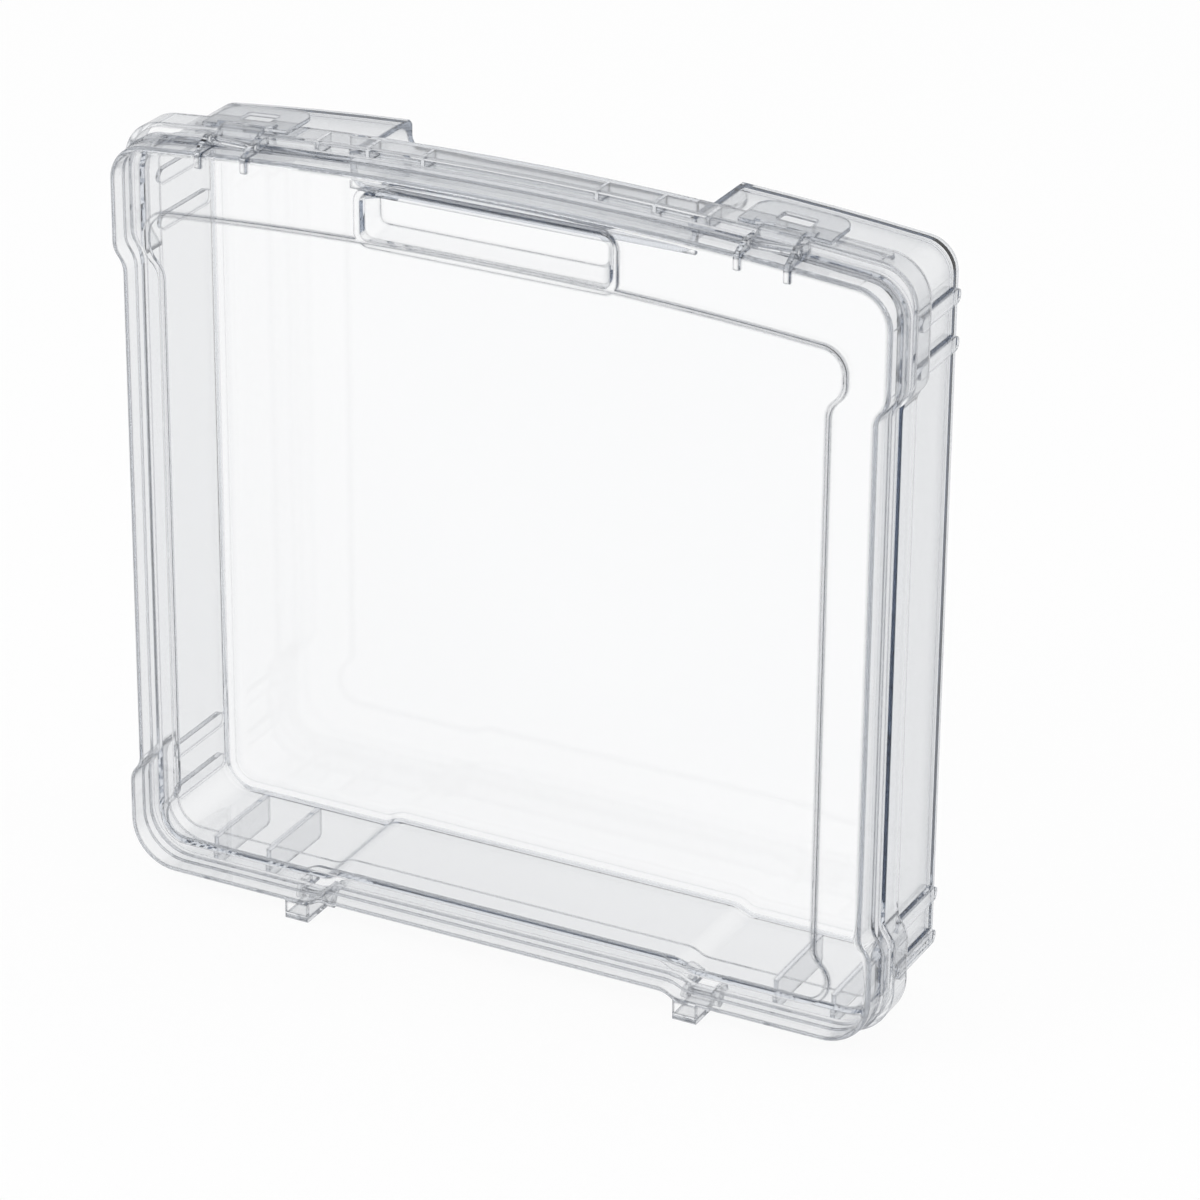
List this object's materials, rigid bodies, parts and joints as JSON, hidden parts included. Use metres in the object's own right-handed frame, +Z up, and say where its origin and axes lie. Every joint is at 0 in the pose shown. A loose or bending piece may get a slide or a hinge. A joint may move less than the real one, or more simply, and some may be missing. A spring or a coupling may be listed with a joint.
{
  "type": "scrapbook paper storage box",
  "caption": "Clear plastic box for flat craft paper: a deep tray with a crowned carrying rim, a front lid hinged along its foot, and flap latches at its top.",
  "frame": {"origin": "middle of the box on the surface it stands on, halfway between the lid's face and the tray's back", "axes": "+Z up, -Y out of the lid's face, +X to the right seen from the front"},
  "size_m": [0.366, 0.081, 0.361],
  "materials": {
    "clear_plastic": "gloss"
  },
  "bodies": {
    "tray": {"base_tray": "clear_plastic"},
    "lid": {"lid": "clear_plastic"},
    "right_latch": {"right_latch": "clear_plastic"},
    "left_latch": {"left_latch": "clear_plastic"}
  },
  "joints": [
    {"name": "lid_hinge", "type": "hinge", "parent": "tray", "child": "lid", "pos_m": [0, -0.02005, 0.0032], "axis": [1, 0, 0], "range_deg": [0, 180]},
    {"name": "right_latch_hinge", "type": "hinge", "parent": "lid", "child": "right_latch", "pos_m": [0.124, -0.0295, 0.3545], "axis": [1, 0, 0], "range_deg": [0, 110]},
    {"name": "left_latch_hinge", "type": "hinge", "parent": "lid", "child": "left_latch", "pos_m": [-0.124, -0.0295, 0.3545], "axis": [1, 0, 0], "range_deg": [0, 110]}
  ]
}
